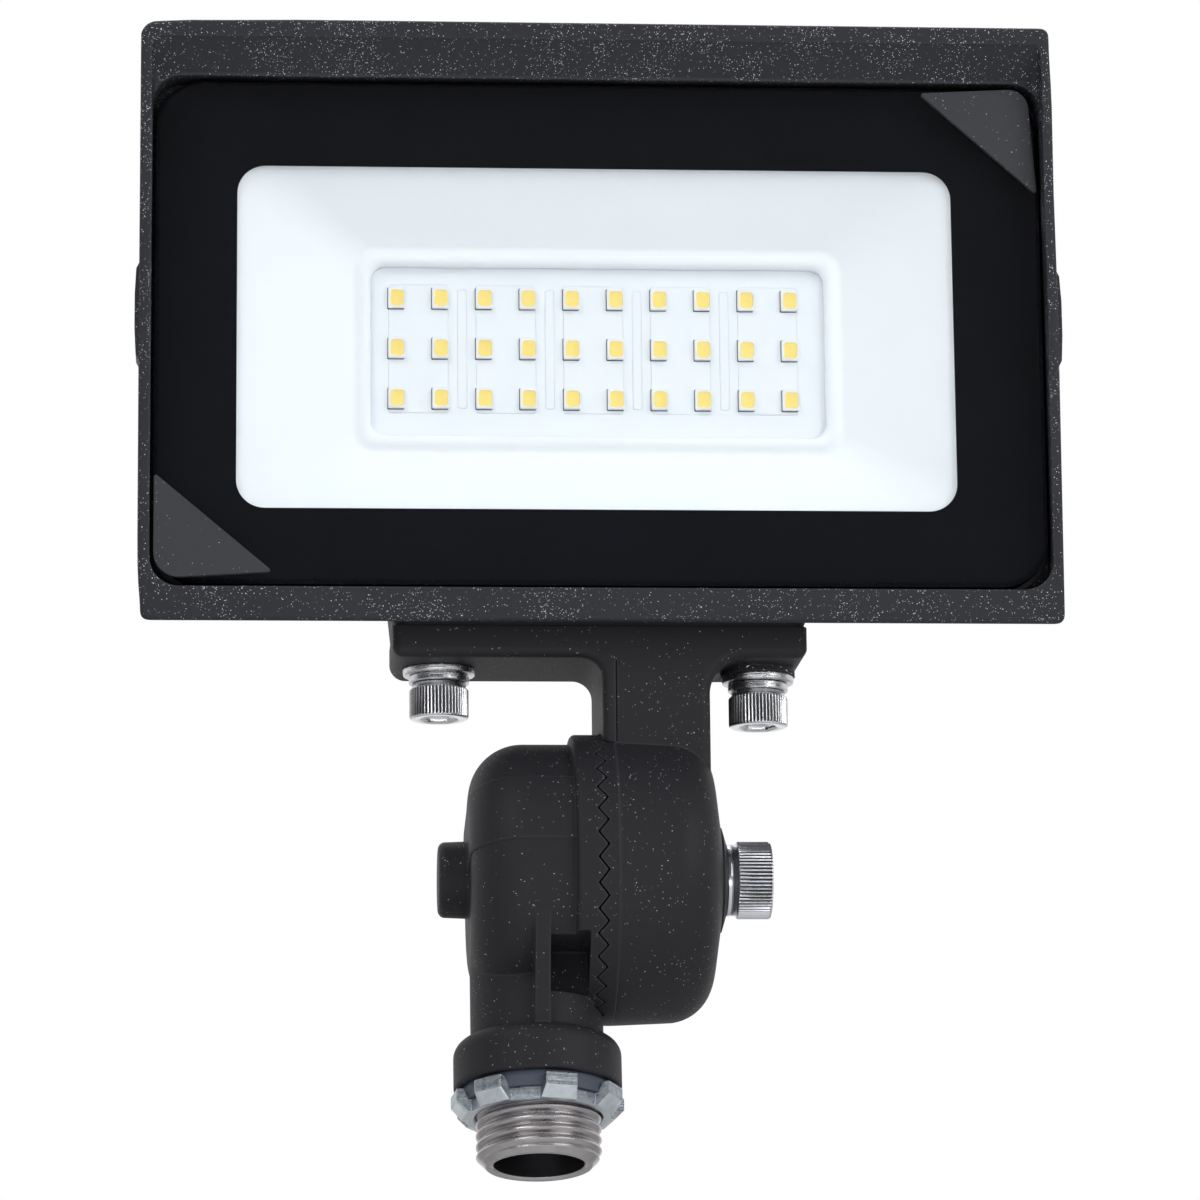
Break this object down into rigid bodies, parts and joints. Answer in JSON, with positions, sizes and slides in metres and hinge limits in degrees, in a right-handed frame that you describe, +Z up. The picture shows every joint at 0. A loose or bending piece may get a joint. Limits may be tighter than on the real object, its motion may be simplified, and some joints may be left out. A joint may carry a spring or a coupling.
{
  "type": "led flood light",
  "caption": "Rectangular LED flood light head with a glass front and finned back, on a toothed tilting knuckle with a threaded nipple and locknut for a junction box.",
  "frame": {"origin": "centre of the threaded nipple's free end, on the thread's axis", "axes": "+Z up the nipple's axis into the lower arm, -Y the way the head shines, +X towards the pivot bolt's head"},
  "size_m": [0.1564, 0.0709, 0.1885],
  "materials": {
    "charcoal_paint": "charcoal powder coat with fine light flecks, on die-cast aluminium",
    "nipple_steel": "turned",
    "zinc_plate": "zinc plated",
    "bolt_steel": "plated",
    "screw_steel": "plated",
    "washer_steel": "plated",
    "black_rubber": "matte",
    "front_glass": "clear",
    "reflector_white": "satin",
    "board_white": "matte",
    "led_phosphor": "matte",
    "small_screw_steel": "plated",
    "lead_insulation": "satin",
    "thermal_grey": "matte",
    "driver_board_green": "satin",
    "transformer_tape": "satin",
    "capacitor_sleeve": "gloss",
    "chip_black": "matte"
  },
  "bodies": {
    "knuckle_base": {"lower_arm": "charcoal_paint", "threaded_nipple": "nipple_steel", "collar_gasket": "black_rubber", "knuckle_tooth_ring": "charcoal_paint", "knuckle_seal": "black_rubber"},
    "locknut": {"locknut": "zinc_plate"},
    "pivot_bolt": {"pivot_bolt": "bolt_steel", "pivot_seal_washer": "black_rubber", "pivot_spring_washer": "washer_steel"},
    "head": {"upper_arm": "charcoal_paint", "bracket_gasket": "black_rubber", "bracket_flat_washers": "washer_steel", "bracket_spring_washers": "washer_steel", "bracket_screws": "screw_steel", "housing": "charcoal_paint", "wire_grommet": "black_rubber", "glass_gasket": "black_rubber", "front_glass": "front_glass", "corner_clip_upper": "charcoal_paint", "corner_clip_lower": "charcoal_paint", "reflector": "reflector_white", "led_board": "board_white", "thermal_pad": "thermal_grey", "led_packages": "led_phosphor", "led_board_screws": "small_screw_steel", "led_leads": "lead_insulation", "driver_board": "driver_board_green", "driver_board_screws": "small_screw_steel", "driver_transformer": "transformer_tape", "driver_capacitors": "capacitor_sleeve", "driver_bridge": "chip_black", "rear_cover_gasket": "black_rubber", "rear_cover": "charcoal_paint", "rear_cover_screws": "small_screw_steel"}
  },
  "joints": [
    {"name": "head_tilt", "type": "hinge", "parent": "knuckle_base", "child": "head", "pos_m": [0.0129, 0, 0.0498], "axis": [1, 0, 0], "range_deg": [-100, 80]},
    {"name": "pivot_bolt_turn", "type": "hinge", "parent": "knuckle_base", "child": "pivot_bolt", "pos_m": [0.0129, 0, 0.0498], "axis": [1, 0, 0], "continuous": true},
    {"name": "locknut_travel", "type": "slide", "parent": "knuckle_base", "child": "locknut", "axis": [0, 0, 1], "range_m": [-0.0079, 0]}
  ]
}
